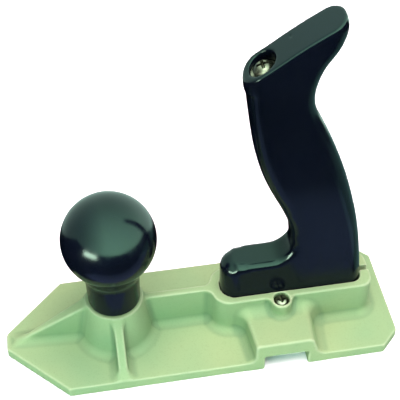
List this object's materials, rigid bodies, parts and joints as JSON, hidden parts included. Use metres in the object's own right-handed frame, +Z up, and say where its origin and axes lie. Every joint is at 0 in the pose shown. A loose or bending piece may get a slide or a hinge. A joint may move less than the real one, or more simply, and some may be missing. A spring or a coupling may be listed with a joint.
{
  "type": "hand plane",
  "caption": "Hand plane for flush-trimming edge strips: flat pointed cast base, ball knob in front, upright grip behind, and a knife whose height a screw sets",
  "frame": {"origin": "middle of the sole, on the plane the tool slides on", "axes": "+X from the nose to the tail, +Z up from the sole, and the knife channel opens at the -Y edge"},
  "size_m": [0.2, 0.0686, 0.1932],
  "materials": {
    "casting_paint": "pale green satin paint on a die casting",
    "black_plastic": "polished black moulding",
    "brass": "turned brass",
    "zinc_steel": "bright zinc plated steel",
    "black_steel": "blackened steel screw",
    "insert_steel": "machined steel",
    "carrier_metal": "milled aluminium",
    "carbide": "ground carbide",
    "spring_steel": "drawn spring wire"
  },
  "bodies": {
    "base": {"base_casting": "casting_paint", "front_knob": "black_plastic", "knob_insert": "brass", "knob_screw": "black_steel", "knob_screw_washer": "zinc_steel", "rear_handle": "black_plastic", "handle_screw": "zinc_steel", "handle_screw_washer": "zinc_steel", "handle_thread_insert": "insert_steel", "toe_screw": "black_steel", "toe_insert": "brass", "carrier_guide_pins": "insert_steel", "depth_screw_washer": "brass"},
    "carrier": {"knife_carrier": "carrier_metal", "knife": "carbide", "knife_clamp": "insert_steel", "clamp_screws": "black_steel", "knife_locating_pins": "insert_steel", "carrier_springs": "spring_steel", "depth_thread_insert": "brass"},
    "depth_screw": {"depth_screw": "zinc_steel"}
  },
  "joints": [
    {"name": "depth_screw_turn", "type": "hinge", "parent": "base", "child": "depth_screw", "pos_m": [0.0401, -0.013, 0.0257], "axis": [0, 0, 1], "range_deg": [-300, 300]},
    {"name": "carrier_slide", "type": "slide", "parent": "base", "child": "carrier", "axis": [0, 0, 1], "range_m": [-0.00058, 0.00058], "deforming": ["carrier_springs"]}
  ],
  "couplings": [
    {"joint": "depth_screw_turn", "follows": "carrier_slide", "rad_per_m": -8976}
  ]
}
